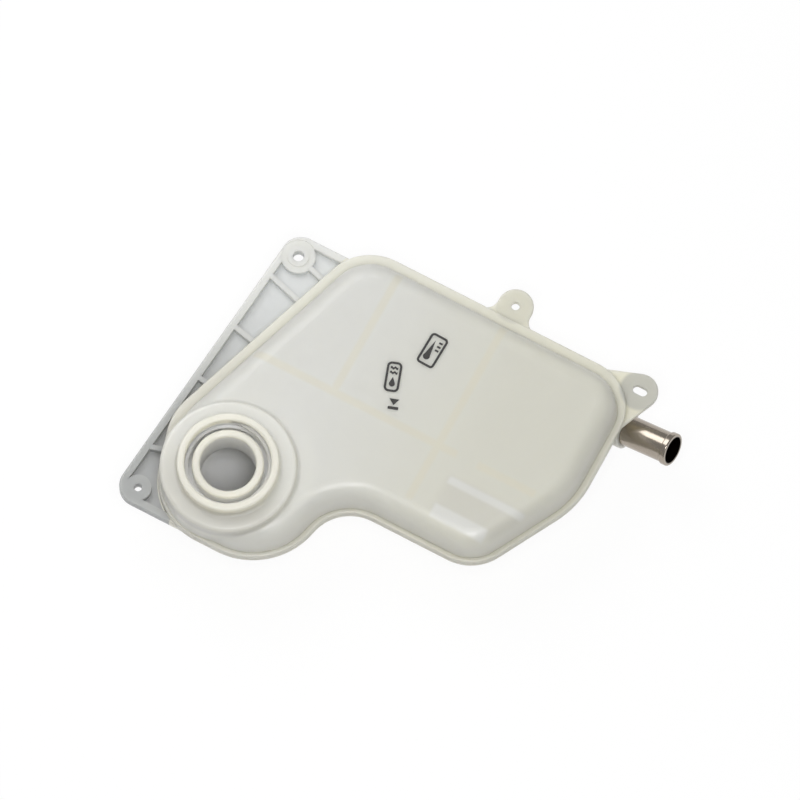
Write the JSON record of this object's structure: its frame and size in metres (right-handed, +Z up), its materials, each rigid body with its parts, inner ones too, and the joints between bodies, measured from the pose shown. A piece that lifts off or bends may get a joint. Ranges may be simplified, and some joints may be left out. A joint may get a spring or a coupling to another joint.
{
  "type": "coolant expansion tank",
  "caption": "Flat translucent coolant expansion tank of welded half shells, with a wide filler neck, a ribbed mounting flange, fixing lugs and a beaded hose pipe.",
  "frame": {"origin": "centre of the upper bolt hole of the mounting flange, on the bolt seat, which lies in the plane of the weld seam", "axes": "+X along the straight long edge towards the hose pipe, +Y out of that edge, +Z up out of the filler neck"},
  "size_m": [0.2848, 0.2312, 0.0835],
  "materials": {
    "translucent_plastic": "satin, slightly translucent ivory polypropylene",
    "pipe_metal": "satin, brown-grey"
  },
  "bodies": {
    "root": {"upper_shell": "translucent_plastic", "lower_shell": "translucent_plastic", "outlet_pipe": "pipe_metal"}
  },
  "joints": []
}
